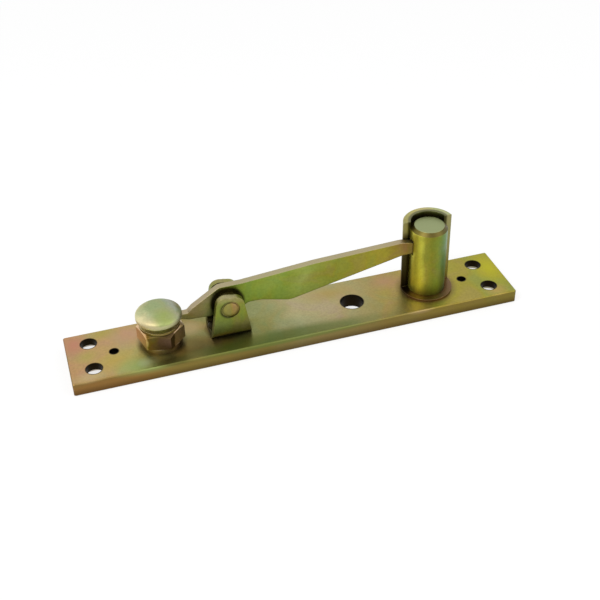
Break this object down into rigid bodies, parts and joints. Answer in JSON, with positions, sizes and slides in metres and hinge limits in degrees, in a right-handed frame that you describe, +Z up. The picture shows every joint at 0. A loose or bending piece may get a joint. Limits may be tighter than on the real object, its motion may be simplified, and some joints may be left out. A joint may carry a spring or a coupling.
{
  "type": "adjustable top centre for a double-action door",
  "caption": "Flat steel base plate with a walking beam, adjusting screw and retractable pivot pin, set in a door frame's head above a floor-sprung door.",
  "frame": {"origin": "centre of the base plate's visible lower face", "axes": "+X along the plate towards the pivot pin, +Y across the plate, +Z up from the visible face into the door frame's head"},
  "size_m": [0.19, 0.031, 0.0395],
  "materials": {
    "plate_steel": "bright drawn flat bar, zinc plated and yellow passivated",
    "turned_steel": "turned steel, zinc plated and yellow passivated",
    "pressed_steel": "blanked steel strip, zinc plated and yellow passivated",
    "rivet_steel": "peened rivet steel, yellow passivated",
    "pivot_steel": "ground pin, zinc plated and yellow passivated"
  },
  "bodies": {
    "plate": {"base_plate": "plate_steel", "threaded_bush": "turned_steel", "fulcrum_bracket": "pressed_steel", "fulcrum_pin": "rivet_steel", "spacer_front": "turned_steel", "spacer_rear": "turned_steel", "bracket_rivet_left": "rivet_steel", "bracket_rivet_right": "rivet_steel", "pin_guide": "turned_steel"},
    "washer": {"thrust_washer": "turned_steel"},
    "screw": {"adjusting_screw": "turned_steel", "jam_nut": "turned_steel"},
    "beam": {"rocking_beam": "pressed_steel"},
    "pin": {"pivot_pin": "pivot_steel"}
  },
  "joints": [
    {"name": "washer_rise", "type": "slide", "parent": "plate", "child": "washer", "axis": [0, 0, 1], "range_m": [0, 0.00364]},
    {"name": "screw_turn", "type": "hinge", "parent": "washer", "child": "screw", "pos_m": [-0.0565, 0, 0.012], "axis": [0, 0, 1], "range_deg": [0, 864]},
    {"name": "beam_rock", "type": "hinge", "parent": "plate", "child": "beam", "pos_m": [-0.0284, 0, 0.02], "axis": [0, 1, 0], "range_deg": [0, 10]},
    {"name": "pin_slide", "type": "slide", "parent": "plate", "child": "pin", "axis": [0, 0, -1], "range_m": [0, 0.01478]}
  ],
  "couplings": [
    {"joint": "screw_turn", "follows": "pin_slide", "rad_per_m": 1019.9},
    {"joint": "washer_rise", "follows": "pin_slide", "ratio": 0.24349},
    {"joint": "beam_rock", "follows": "pin_slide", "rad_per_m": 11.806}
  ]
}
